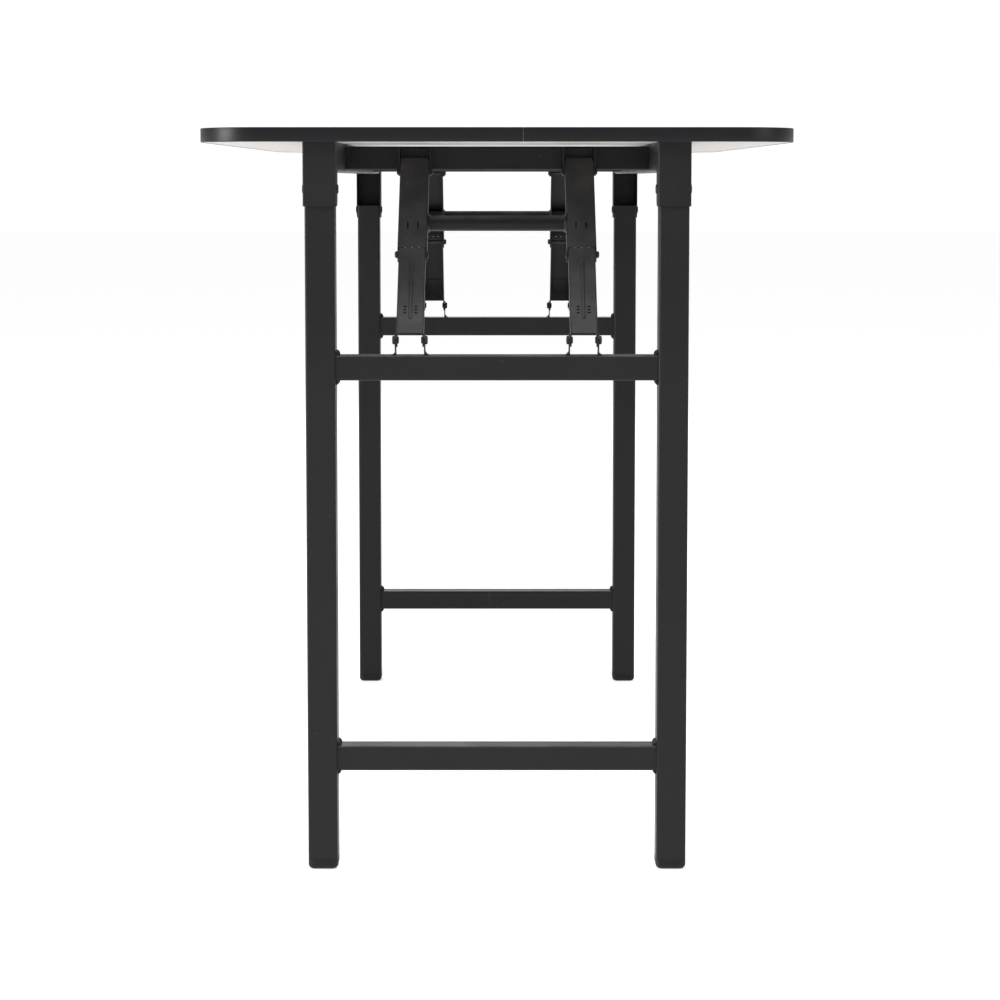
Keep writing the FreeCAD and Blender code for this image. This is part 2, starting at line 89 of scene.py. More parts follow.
class TableSizes(bpy.types.PropertyGroup):
    """Sizes of the pieces that are made here, in metres."""
    band_depth: length_setting("Band thickness", "Thickness of the edge band", 0.0012)
    band_corner: length_setting("Board corner", "Radius of the board's corners in plan", 0.070)
    band_round: length_setting("Band rounding", "Rounding of the band's long edges", 0.0009)
    band_lip: length_setting("Band lip", "How far the band stands below the underside", 0.0004)
    seam_offset: length_setting("Seam offset", "Seam of the band from the middle of the end", 0.026)
    seam_gap: length_setting("Seam gap", "Gap between the two ends of the band", 0.0004)
    cap_height: length_setting("Cap height", "Height of a foot below its tube", 0.010)
    cap_corner: length_setting("Cap corner", "Radius of a foot's upright corners", 0.0062)
    cap_tread: length_setting("Cap tread", "Rounding round the bottom of a foot", 0.0050)
    stem_half: length_setting("Stem half width", "Half width of the plug in the tube", 0.0137)
    weld_out: length_setting("Weld run", "How far a weld bead runs along the crossbar", 0.0040)
    weld_up: length_setting("Weld rise", "How far a weld bead climbs the leg", 0.0052)
    weld_length: length_setting("Weld length", "Length of a weld bead across the tube", 0.0185)
    shank: length_setting("Shank radius", "Radius of the brace pins and rivets", 0.0025)
    leg_shank: length_setting("Leg pin radius", "Radius of the leg pivot pins", 0.0030)
    lug_head: length_setting("Lug rivet head", "Height of the heads of the lug rivets", 0.0026)


class TableFinishes(bpy.types.PropertyGroup):
    """Colours of the finishes."""
    coat: colour_setting("Powder coat", "Black powder coat of the steel", (0.0084, 0.0080, 0.0092))
    coat_rub: colour_setting("Rubbed coat", "Powder coat where hands have rubbed it",
                             (0.034, 0.031, 0.033))
    band: colour_setting("Edge band", "Plastic strip round the board", (0.0052, 0.0053, 0.0072))
    top: colour_setting("Top laminate", "Face of the board", (0.640, 0.630, 0.605))
    under: colour_setting("Backing laminate", "Underside of the board", (0.480, 0.458, 0.438))
    chips: colour_setting("Particle board", "Core of the board", (0.520, 0.390, 0.250))
    plastic: colour_setting("Foot plastic", "Moulded foot caps", (0.0050, 0.0047, 0.0050))
    pin: colour_setting("Blacked pin", "Blackened steel of pins and rivets", (0.0110, 0.0110, 0.0118))
    zinc: colour_setting("Zinc", "Plated screws", (0.560, 0.560, 0.540))
    floor: colour_setting("Floor", "Studio floor", (0.860, 0.860, 0.860))


# ---------------------------------------------------------------- modelling helpers

def clear_selection():
    if bpy.context.object and bpy.context.object.mode != "OBJECT":
        bpy.ops.object.mode_set(mode="OBJECT")
    bpy.ops.object.select_all(action="DESELECT")


def name_new(name):
    """Names the piece that was just added, and settles it."""
    piece = bpy.context.object
    piece.name = name
    piece.data.name = name
    settle(piece)
    return piece


def add_block(name, low, high):
    """A block that fills the box from low to high."""
    clear_selection()
    low, high = Vector(low), Vector(high)
    bpy.ops.mesh.primitive_cube_add(size=1.0, location=(low + high) / 2, scale=high - low)
    return name_new(name)


def add_disc(name, start, toward, y, z, radius, depth, sides=32):
    """A short round bar along X that begins at start and points along toward."""
    clear_selection()
    centre = (start + toward * depth / 2, y, z)
    bpy.ops.mesh.primitive_cylinder_add(vertices=sides, radius=radius, depth=depth,
                                        location=centre, rotation=(0, math.pi / 2, 0))
    return name_new(name)


def settle(piece):
    """Moves a piece's place and turn into its mesh, so that its object sits at the origin."""
    clear_selection()
    piece.select_set(True)
    bpy.context.view_layer.objects.active = piece
    bpy.ops.object.transform_apply(location=True, rotation=True, scale=True)


def edit(piece, mode="FACE"):
    """Opens a piece in edit mode with nothing selected."""
    clear_selection()
    piece.select_set(True)
    bpy.context.view_layer.objects.active = piece
    bpy.ops.object.mode_set(mode="EDIT")
    bpy.ops.mesh.select_mode(type=mode)
    bpy.ops.mesh.select_all(action="DESELECT")


def pick(piece, kind, wanted):
    """Selects the elements of one kind, FACE or EDGE, that are wanted, and only those."""
    bpy.ops.mesh.select_mode(type=kind)
    bpy.ops.mesh.select_all(action="DESELECT")
    mesh = bmesh.from_edit_mesh(piece.data)
    found = [item for item in (mesh.faces if kind == "FACE" else mesh.edges) if wanted(item)]
    for item in found:
        item.select_set(True)
    bmesh.update_edit_mesh(piece.data)
    if not found:
        raise RuntimeError("no " + kind.lower() + " to work on in " + piece.name)


def pick_faces(piece, wanted):
    pick(piece, "FACE", wanted)


def pick_edges(piece, wanted):
    pick(piece, "EDGE", wanted)


def upright(edge):
    a, b = (v.co for v in edge.verts)
    return abs(a.x - b.x) < TOUCH and abs(a.y - b.y) < TOUCH


def at_height(element, z):
    return all(abs(v.co.z - z) < TOUCH for v in element.verts)


def at_x(element, x, within=TOUCH):
    return all(abs(v.co.x - x) < within for v in element.verts)


def push_out(distance):
    """Extrudes the selected faces along Z."""
    bpy.ops.mesh.extrude_region_move(TRANSFORM_OT_translate={"value": (0, 0, distance)})


def join(name, pieces):
    clear_selection()
    for piece in pieces:
        piece.select_set(True)
    bpy.context.view_layer.objects.active = pieces[0]
    if len(pieces) > 1:
        bpy.ops.object.join()
    whole = bpy.context.object
    whole.name = name
    whole.data.name = name
    return whole


def close_up(piece, angle=35.0):
    """Merges doubles, turns the faces outwards and smooths all but the sharp edges."""
    edit(piece)
    bpy.ops.mesh.select_all(action="SELECT")
    bpy.ops.mesh.remove_doubles(threshold=TOUCH)
    bpy.ops.mesh.normals_make_consistent(inside=False)
    bpy.ops.object.mode_set(mode="OBJECT")
    bpy.ops.object.shade_smooth_by_angle(angle=math.radians(angle))


def fit_out(piece, body, slot, material, *nodes):
    """Gives a finished piece its body and finish, and hides the CAD nodes that it stands for."""
    piece.data.materials.clear()
    piece.data.materials.append(material)
    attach(piece, body)
    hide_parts(*nodes)


def sizes():
    return bpy.context.scene.table_sizes


def finishes():
    return bpy.context.scene.table_finishes


def middle(node):
    low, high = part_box(node)
    return (Vector(low) + Vector(high)) / 2


# ---------------------------------------------------------------- shared effects

def new_group(name, inputs, outputs):
    """An empty node group with named inputs (name, default) and outputs (name, kind)."""
    group = bpy.data.node_groups.new(name, "ShaderNodeTree")
    for label, default in inputs:
        socket = group.interface.new_socket(label, in_out="INPUT", socket_type="NodeSocketFloat")
        socket.default_value = default
    for label in outputs:
        group.interface.new_socket(label, in_out="OUTPUT", socket_type="NodeSocketFloat")
    way_in = group.nodes.new("NodeGroupInput")
    way_out = group.nodes.new("NodeGroupOutput")
    return group, way_in, way_out


def noise(tree, where, scale, detail=3.0, roughness=0.55):
    node = tree.nodes.new("ShaderNodeTexNoise")
    node.inputs["Detail"].default_value = detail
    node.inputs["Roughness"].default_value = roughness
    if isinstance(scale, (int, float)):
        node.inputs["Scale"].default_value = scale
    else:
        tree.links.new(scale, node.inputs["Scale"])
    tree.links.new(where, node.inputs["Vector"])
    return node.outputs["Fac"]


def span(tree, value, low, high, to_low=0.0, to_high=1.0):
    """Spreads value from low..high onto to_low..to_high."""
    node = tree.nodes.new("ShaderNodeMapRange")
    node.interpolation_type = "SMOOTHSTEP"
    node.inputs["From Min"].default_value = low
    node.inputs["From Max"].default_value = high
    node.inputs["To Min"].default_value = to_low
    node.inputs["To Max"].default_value = to_high
    tree.links.new(value, node.inputs["Value"])
    return node.outputs["Result"]


def maths(tree, operation, a, b):
    node = tree.nodes.new("ShaderNodeMath")
    node.operation = operation
    for socket, value in zip(node.inputs, (a, b)):
        if isinstance(value, (int, float)):
            socket.default_value = value
        else:
            tree.links.new(value, socket)
    return node.outputs[0]


def orange_peel():
    """Fine waves with a finer grit on them, as on sprayed or moulded surfaces."""
    finer = 3.7             # grit's scale beside that of the waves
    peel, way_in, way_out = new_group("orange_peel", (("Scale", 900.0), ("Grit", 0.35)), ("Height",))
    where = peel.nodes.new("ShaderNodeTexCoord").outputs["Object"]
    soft = noise(peel, where, way_in.outputs["Scale"], 2.0)
    fine = noise(peel, where, maths(peel, "MULTIPLY", way_in.outputs["Scale"], finer), 1.0)
    height = maths(peel, "ADD", soft, maths(peel, "MULTIPLY", fine, way_in.outputs["Grit"]))
    peel.links.new(height, way_out.inputs["Height"])


def cloudiness():
    """Broad soft patches."""
    cloud, way_in, way_out = new_group("cloudiness", (("Scale", 9.0),), ("Mask",))
    where = cloud.nodes.new("ShaderNodeTexCoord").outputs["Object"]
    mask = span(cloud, noise(cloud, where, way_in.outputs["Scale"], 4.0), 0.35, 0.68)
    cloud.links.new(mask, way_out.inputs["Mask"])


def rub_marks():
    """Ragged patches drawn out along Z. A higher Cover leaves fewer of them."""
    edge = 0.10             # how far the noise rises across the edge of a patch
    rub, way_in, way_out = new_group("rub_marks", (("Scale", 38.0), ("Cover", 0.62)), ("Mask",))
    where = rub.nodes.new("ShaderNodeTexCoord").outputs["Object"]
    streak = rub.nodes.new("ShaderNodeMapping")
    streak.inputs["Scale"].default_value = (1.0, 1.0, 0.22)
    rub.links.new(where, streak.inputs["Vector"])
    broad = noise(rub, streak.outputs["Vector"], way_in.outputs["Scale"], 6.0, 0.7)
    sharp = rub.nodes.new("ShaderNodeMapRange")
    rub.links.new(broad, sharp.inputs["Value"])
    rub.links.new(way_in.outputs["Cover"], sharp.inputs["From Min"])
    rub.links.new(maths(rub, "ADD", way_in.outputs["Cover"], edge), sharp.inputs["From Max"])
    rub.links.new(sharp.outputs["Result"], way_out.inputs["Mask"])


def dust_and_top_highlight():
    """A thin lighter film on faces that look up, which is a painted highlight, and a few specks of real dust on
    all of them.
    """
    dust_and_highlight, way_in, way_out = new_group("dust_and_highlight", (("Scale", 160.0), ("Amount", 0.5)), ("Mask",))
    where = dust_and_highlight.nodes.new("ShaderNodeTexCoord").outputs["Object"]
    normal = dust_and_highlight.nodes.new("ShaderNodeNewGeometry").outputs["Normal"]
    split = dust_and_highlight.nodes.new("ShaderNodeSeparateXYZ")
    dust_and_highlight.links.new(normal, split.inputs["Vector"])
    # painted highlight: faces that look up are made lighter, as light from above would make them
    upward = span(dust_and_highlight, split.outputs["Z"], 0.25, 0.95)
    painted_top_highlight = span(dust_and_highlight, noise(dust_and_highlight, where, 24.0, 5.0), 0.30, 0.75, 0.35, 1.0)
    cells = dust_and_highlight.nodes.new("ShaderNodeTexVoronoi")
    dust_and_highlight.links.new(where, cells.inputs["Vector"])
    dust_and_highlight.links.new(way_in.outputs["Scale"], cells.inputs["Scale"])
    speck = span(dust_and_highlight, cells.outputs["Distance"], 0.055, 0.030)
    rare = span(dust_and_highlight, noise(dust_and_highlight, where, 55.0, 2.0), 0.62, 0.70)
    painted_top_highlight = maths(dust_and_highlight, "MULTIPLY", maths(dust_and_highlight, "MULTIPLY", upward, painted_top_highlight), way_in.outputs["Amount"])
    speck = maths(dust_and_highlight, "MULTIPLY", speck, rare)
    dust_and_highlight.links.new(maths(dust_and_highlight, "MAXIMUM", painted_top_highlight, speck), way_out.inputs["Mask"])


def build_groups():
    """Effects that several finishes share."""
    orange_peel()
    cloudiness()
    rub_marks()
    dust_and_top_highlight()


def effect(tree, name, **values):
    """Places a shared effect in a material with its own values."""
    node = tree.nodes.new("ShaderNodeGroup")
    node.node_tree = bpy.data.node_groups[name]
    for label, value in values.items():
        node.inputs[label].default_value = value
    return node


def mix_colour(tree, mask, first, second):
    """First where the mask is 0, second where it is 1."""
    node = tree.nodes.new("ShaderNodeMix")
    node.data_type = "RGBA"
    for number, value in ((MIX_FIRST, first), (MIX_SECOND, second)):
        if isinstance(value, (tuple, list)):
            node.inputs[number].default_value = (*value, 1.0)
        else:
            tree.links.new(value, node.inputs[number])
    tree.links.new(mask, node.inputs[MIX_FACTOR])
    return node.outputs[MIX_RESULT]


def bump(tree, shader, height, strength, distance):
    node = tree.nodes.new("ShaderNodeBump")
    node.inputs["Strength"].default_value = strength
    node.inputs["Distance"].default_value = distance
    tree.links.new(height, node.inputs["Height"])
    tree.links.new(node.outputs["Normal"], shader.inputs["Normal"])


def new_material(name):
    """A material with nothing but its shader, and the shader itself."""
    material = bpy.data.materials.new(name)
    material.use_nodes = True
    tree = material.node_tree
    shader = next(n for n in tree.nodes if n.type == "BSDF_PRINCIPLED")
    return material, tree, shader


def link_colour(tree, shader, colour):
    tree.links.new(colour, shader.inputs["Base Color"])


# ---------------------------------------------------------------- finishes

def powder_coat(colours):
    """Satin black powder coat: orange peel, faint clouds, rub marks, a little dust and a painted highlight on
    faces that look up.
    """
    material, tree, shader = new_material("powder_coat")
    cloud = effect(tree, "cloudiness", Scale=7.0).outputs["Mask"]
    rub = effect(tree, "rub_marks", Scale=42.0, Cover=0.66).outputs["Mask"]
    # mask of real dust specks and of a painted highlight that lightens faces that look up
    dust_and_highlight = effect(tree, "dust_and_highlight", Scale=210.0, Amount=0.16).outputs["Mask"]
    darker = tuple(c * 0.86 for c in colours.coat)
    colour = mix_colour(tree, cloud, darker, tuple(colours.coat))
    colour = mix_colour(tree, maths(tree, "MULTIPLY", rub, 0.35), colour, tuple(colours.coat_rub))
    # lightens the coat with the dust specks and with the painted highlight on the tops
    colour = mix_colour(tree, dust_and_highlight, colour, DUST_AND_HIGHLIGHT_COLOUR)
    link_colour(tree, shader, colour)
    rough = maths(tree, "ADD", span(tree, cloud, 0.0, 1.0, 0.40, 0.47),
                  maths(tree, "MULTIPLY", rub, -0.07))
    tree.links.new(rough, shader.inputs["Roughness"])
    shader.inputs["Specular IOR Level"].default_value = 0.20
    peel = effect(tree, "orange_peel", Scale=760.0, Grit=0.30).outputs["Height"]
    bump(tree, shader, peel, 0.20, 0.00025)
    return material


def blacked_steel(colours):
    """Pins and rivets: blackened steel, worn a little brighter in places."""
    material, tree, shader = new_material("blacked_steel")
    rub = effect(tree, "rub_marks", Scale=160.0, Cover=0.60).outputs["Mask"]
    colour = mix_colour(tree, maths(tree, "MULTIPLY", rub, 0.5), tuple(colours.pin), WORN_STEEL)
    link_colour(tree, shader, colour)
    tree.links.new(span(tree, rub, 0.0, 1.0, 0.42, 0.30), shader.inputs["Roughness"])
    tree.links.new(span(tree, rub, 0.0, 1.0, 0.05, 0.60), shader.inputs["Metallic"])
    shader.inputs["Specular IOR Level"].default_value = 0.25
    grain = effect(tree, "orange_peel", Scale=1500.0, Grit=0.5).outputs["Height"]
    bump(tree, shader, grain, 0.18, 0.00012)
    return material


def edge_plastic(colours):
    """The edge band: satin plastic with a very fine pebble and thin drawing lines along it."""
    material, tree, shader = new_material("edge_plastic")
    where = tree.nodes.new("ShaderNodeTexCoord").outputs["Object"]
    drawn = tree.nodes.new("ShaderNodeMapping")
    drawn.inputs["Scale"].default_value = (0.02, 0.02, 1.0)
    tree.links.new(where, drawn.inputs["Vector"])
    lines = noise(tree, drawn.outputs["Vector"], 1400.0, 2.0)
    cloud = effect(tree, "cloudiness", Scale=5.0).outputs["Mask"]
    colour = mix_colour(tree, cloud, tuple(c * 0.9 for c in colours.band), tuple(colours.band))
    link_colour(tree, shader, colour)
    tree.links.new(span(tree, lines, 0.2, 0.8, 0.30, 0.40), shader.inputs["Roughness"])
    shader.inputs["Specular IOR Level"].default_value = 0.22
    pebble = effect(tree, "orange_peel", Scale=1300.0, Grit=0.4).outputs["Height"]
    height = maths(tree, "ADD", pebble, maths(tree, "MULTIPLY", lines, 0.6))
    bump(tree, shader, height, 0.12, 0.00015)
    return material


def laminate(name, colour, tint, roughness, speckle):
    """Pale laminate with a faint cloud in its colour and a fine pressed texture."""
    material, tree, shader = new_material(name)
    cloud = effect(tree, "cloudiness", Scale=3.2).outputs["Mask"]
    where = tree.nodes.new("ShaderNodeTexCoord").outputs["Object"]
    flecks = span(tree, noise(tree, where, 620.0, 2.0), 0.44, 0.66)
    base = mix_colour(tree, cloud, tuple(colour), tuple(c * t for c, t in zip(colour, tint)))
    base = mix_colour(tree, maths(tree, "MULTIPLY", flecks, speckle), base,
                      tuple(c * 0.80 for c in colour))
    link_colour(tree, shader, base)
    tree.links.new(span(tree, flecks, 0.0, 1.0, roughness - 0.05, roughness + 0.05),
                   shader.inputs["Roughness"])
    pressed = effect(tree, "orange_peel", Scale=520.0, Grit=0.5).outputs["Height"]
    bump(tree, shader, pressed, 0.10, 0.00020)
    return material


def particle_board(colours):
    """Pressed wood chips, seen only in the seam and the screw holes."""
    material, tree, shader = new_material("particle_board")
    where = tree.nodes.new("ShaderNodeTexCoord").outputs["Object"]
    chips = tree.nodes.new("ShaderNodeTexVoronoi")
    chips.inputs["Scale"].default_value = 420.0
    tree.links.new(where, chips.inputs["Vector"])
    tone = tree.nodes.new("ShaderNodeSeparateColor")
    tree.links.new(chips.outputs["Color"], tone.inputs["Color"])
    colour = mix_colour(tree, tone.outputs["Red"], tuple(c * 0.6 for c in colours.chips),
                        tuple(min(c * 1.35, 1.0) for c in colours.chips))
    link_colour(tree, shader, colour)
    tree.links.new(span(tree, tone.outputs["Green"], 0.0, 1.0, 0.75, 0.92),
                   shader.inputs["Roughness"])
    bump(tree, shader, chips.outputs["Distance"], 0.5, 0.0006)
    return material


def moulded_plastic(colours):
    """Foot caps: matt moulded plastic, scuffed pale where it has slid on floors."""
    material, tree, shader = new_material("moulded_plastic")
    rub = effect(tree, "rub_marks", Scale=120.0, Cover=0.58).outputs["Mask"]
    colour = mix_colour(tree, maths(tree, "MULTIPLY", rub, 0.30), tuple(colours.plastic),
                        SCUFFED_PLASTIC)
    link_colour(tree, shader, colour)
    tree.links.new(span(tree, rub, 0.0, 1.0, 0.50, 0.66), shader.inputs["Roughness"])
    shader.inputs["Specular IOR Level"].default_value = 0.20
    grain = effect(tree, "orange_peel", Scale=1100.0, Grit=0.7).outputs["Height"]
    bump(tree, shader, grain, 0.30, 0.00018)
    return material


def zinc_plate(colours):
    """Plated screws with a faint blue and yellow play in the metal."""
    material, tree, shader = new_material("zinc_plate")
    cloud = effect(tree, "cloudiness", Scale=260.0).outputs["Mask"]
    colour = mix_colour(tree, cloud, tuple(colours.zinc), YELLOWED_ZINC)
    link_colour(tree, shader, colour)
    shader.inputs["Metallic"].default_value = 1.0
    tree.links.new(span(tree, cloud, 0.0, 1.0, 0.28, 0.42), shader.inputs["Roughness"])
    grain = effect(tree, "orange_peel", Scale=2400.0, Grit=0.3).outputs["Height"]
    bump(tree, shader, grain, 0.15, 0.00008)
    return material


def build_materials():
    """Every finish, under the name of the slot that wears it."""
    colours = finishes()
    build_groups()
    return {
        "frame_paint": powder_coat(colours),
        "pin_metal": blacked_steel(colours),
        "edge_band": edge_plastic(colours),
        "top_laminate": laminate("top_laminate", colours.top, tint=(0.985, 0.985, 0.99),
                                 roughness=0.42, speckle=0.10),
        "bottom_laminate": laminate("backing_laminate", colours.under, tint=(0.97, 0.975, 0.98),
                                    roughness=0.60, speckle=0.22),
        "board_core": particle_board(colours),
        "foot_plastic": moulded_plastic(colours),
        "screw_zinc": zinc_plate(colours),
    }


MATERIALS = {}


# ---------------------------------------------------------------- operators

class TABLE_OT_finish_frame(bpy.types.Operator):
    """Makes the finishes and lays them on every part of the table that keeps its own shape"""
    bl_idname = "table.finish_frame"
    bl_label = "Lay On Finishes"

    def execute(self, context):
        MATERIALS.update(build_materials())
        for part in frame["record"]["subparts"]:
            node = frame["nodes"][part["node"]]
            node.data.materials.clear()
            node.data.materials.append(MATERIALS[part["material_slot"]])
        return {"FINISHED"}


class TABLE_OT_edge_band(bpy.types.Operator):
    """Wraps the rounded plastic edge band round the board, with a hairline seam at one end"""
    bl_idname = "table.edge_band"
    bl_label = "Wrap Edge Band"

    def execute(self, context):
        size = sizes()
        low, high = (Vector(corner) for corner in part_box("edge_band"))
        low.z -= size.band_lip
        band = add_block("edge_band_strip", low, high)
        edit(band, "EDGE")
        pick_edges(band, upright)
        bpy.ops.mesh.bevel(offset=size.band_corner, segments=28, affect="EDGES")
        pick_edges(band, lambda e: at_height(e, low.z) or at_height(e, high.z))
        bpy.ops.mesh.bevel(offset=size.band_round, segments=4, affect="EDGES")
        pick_faces(band, lambda f: at_height(f, low.z) or at_height(f, high.z))
        bpy.ops.mesh.inset(thickness=size.band_depth - size.band_round, use_even_offset=True)
        bpy.ops.mesh.delete(type="ONLY_FACE")
        pick_edges(band, lambda e: e.is_boundary)
        bpy.ops.mesh.bridge_edge_loops()
        self.cut_seam(band, low.y, size)
        close_up(band, 40.0)
        fit_out(band, "table_top", "edge_band", MATERIALS["edge_band"], "edge_band")
        return {"FINISHED"}

    def cut_seam(self, band, end_y, size):
        """Parts the strip at the seam and closes its two ends."""
        near_end = end_y + 4 * size.band_depth
        planes = [size.seam_offset + side * size.seam_gap / 2 for side in (-1, 1)]
        for plane in planes:
            pick_faces(band, lambda f: max(v.co.y for v in f.verts) < near_end)
            bpy.ops.mesh.bisect(plane_co=(plane, 0, 0), plane_no=(1, 0, 0))
        pick_faces(band, lambda f: f.calc_center_median().y < near_end
                   and abs(f.calc_center_median().x - size.seam_offset) < size.seam_gap / 2)
        bpy.ops.mesh.delete(type="FACE")
        for plane in planes:
            pick_edges(band, lambda e: e.is_boundary and at_x(e, plane, 10 * TOUCH))
            bpy.ops.mesh.edge_face_add()


class TABLE_OT_foot_caps(bpy.types.Operator):
    """Moulds the four foot caps: a rounded tread, a grooved sole and a plug up the tube"""
    bl_idname = "table.foot_caps"
    bl_label = "Mould Foot Caps"

    def execute(self, context):
        for end in ENDS:
            caps = [self.cap(end, side) for side in SIDES]
            whole = join(end + "_foot_caps", caps)
            close_up(whole, 32.0)
            fit_out(whole, end + "_leg_frame", "foot_plastic", MATERIALS["foot_plastic"],
                    end + "_feet")
        return {"FINISHED"}

    def cap(self, end, side):
        size = sizes()
        low, high = (Vector(corner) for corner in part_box(end + "_feet"))
        centre = middle(end + "_" + side + "_leg")
        half = (high.y - low.y) / 2
        top = size.cap_height
        cap = add_block(end + side, (centre.x - half, low.y, 0.0), (centre.x + half, high.y, top))
        edit(cap, "EDGE")
        pick_edges(cap, upright)
        bpy.ops.mesh.bevel(offset=size.cap_corner, segments=6, affect="EDGES")
        pick_edges(cap, lambda e: at_height(e, 0.0))
        bpy.ops.mesh.bevel(offset=size.cap_tread, segments=8, affect="EDGES", clamp_overlap=True)
        self.sole(cap)
        self.plug(cap, half - size.stem_half, top, high.z - top)
        return cap

    def sole(self, cap):
        """Two shallow square grooves in the sole."""
        depth = 0.0007
        slope = 0.97            # how far each side of a groove draws the face in
        groove = 0.90           # and its bottom
        pick_faces(cap, lambda f: at_height(f, 0.0))
        for rim in (0.94, 0.72):
            self.step_in(rim, 0.0)
            self.step_in(slope, depth)
            self.step_in(groove, 0.0)
            self.step_in(slope, -depth)

    def step_in(self, factor, rise):
        """Extrudes the picked face by rise and shrinks it towards its middle."""
        push_out(rise)
        bpy.ops.transform.resize(value=(factor, factor, 1.0))

    def plug(self, cap, shoulder, top, length):
        """A ribbed hollow plug that grips inside the tube."""
        pick_faces(cap, lambda f: at_height(f, top))
        bpy.ops.mesh.inset(thickness=shoulder, use_even_offset=True)
        ribs = 4
        pitch = length / ribs
        rib_part = 0.6          # part of the pitch that stands out
        ledge = 0.0004
        widen = 1.028           # from the neck after a rib out to the next rib
        wall = 0.0018
        bottom = 0.002
        for i in range(ribs):
            push_out(pitch * rib_part)
            bpy.ops.mesh.inset(thickness=ledge)
            push_out(pitch * (1.0 - rib_part))
            if i < ribs - 1:
                self.step_in(widen, 0.0)
        bpy.ops.mesh.inset(thickness=wall)
        push_out(-(length - bottom))


class TABLE_OT_weld_beads(bpy.types.Operator):
    """Runs a rippled weld bead above and below each end of every crossbar"""
    bl_idname = "table.weld_beads"
    bl_label = "Run Weld Beads"

    def execute(self, context):
        for seed, end in enumerate(ENDS):
            dice = random.Random(40 + seed)
            beads = []
            for bar in ("_upper_crossbar", "_lower_crossbar"):
                low, high = (Vector(corner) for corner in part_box(end + bar))
                for x, inward in ((low.x, 1), (high.x, -1)):
                    for z, rise in ((low.z, -1), (high.z, 1)):
                        corner = Vector((x, (low.y + high.y) / 2, z))
                        beads.append(self.bead(corner, inward, rise, dice))
            whole = join(end + "_weld_beads", beads)
            close_up(whole, 50.0)
            fit_out(whole, end + "_leg_frame", "frame_paint", MATERIALS["frame_paint"],
                    end + "_welds")
        return {"FINISHED"}

    def bead(self, corner, inward, rise, dice):
        """A run of ripples laid in the corner between a leg and a crossbar."""
        size = sizes()
        ripples = 13
        step = size.weld_length / ripples
        core = 0.80             # of the bead's full size, at its start
        crest = 0.45            # where a ripple is highest, as a part of its length
        start = corner - Vector((0, size.weld_length / 2, 0))
        clear_selection()
        bpy.ops.mesh.primitive_circle_add(vertices=24, radius=1.0, fill_type="NGON",
                                          location=start, rotation=(math.pi / 2, 0, 0))
        bead = bpy.context.object
        bead.scale = (size.weld_out * core, size.weld_up * core, 1.0)
        settle(bead)
        edit(bead)
        bpy.ops.mesh.select_all(action="SELECT")
        for i in range(ripples):
            swell = dice.uniform(1.10, 1.24) if 0 < i < ripples - 1 else 1.04
            self.grow(step * crest, swell, corner)
            self.grow(step * (1.0 - crest), 1.0 / swell, corner)
        sink = 0.0003           # how far the bead reaches into the steel
        for away, at in (((inward, 0, 0), corner.x - inward * sink),
                         ((0, 0, rise), corner.z - rise * sink)):
            point = (at, 0, 0) if away[0] else (0, 0, at)
            bpy.ops.mesh.select_all(action="SELECT")
            bpy.ops.mesh.bisect(plane_co=point, plane_no=away, use_fill=True, clear_inner=True)
        bpy.ops.object.mode_set(mode="OBJECT")
        return bead

    def grow(self, distance, swell, corner):
        """Extrudes the end of the bead along the joint and swells it about the corner."""
        bpy.ops.mesh.extrude_region_move(TRANSFORM_OT_translate={"value": (0, distance, 0)})
        bpy.ops.transform.resize(value=(swell, 1.0, swell), center_override=corner)


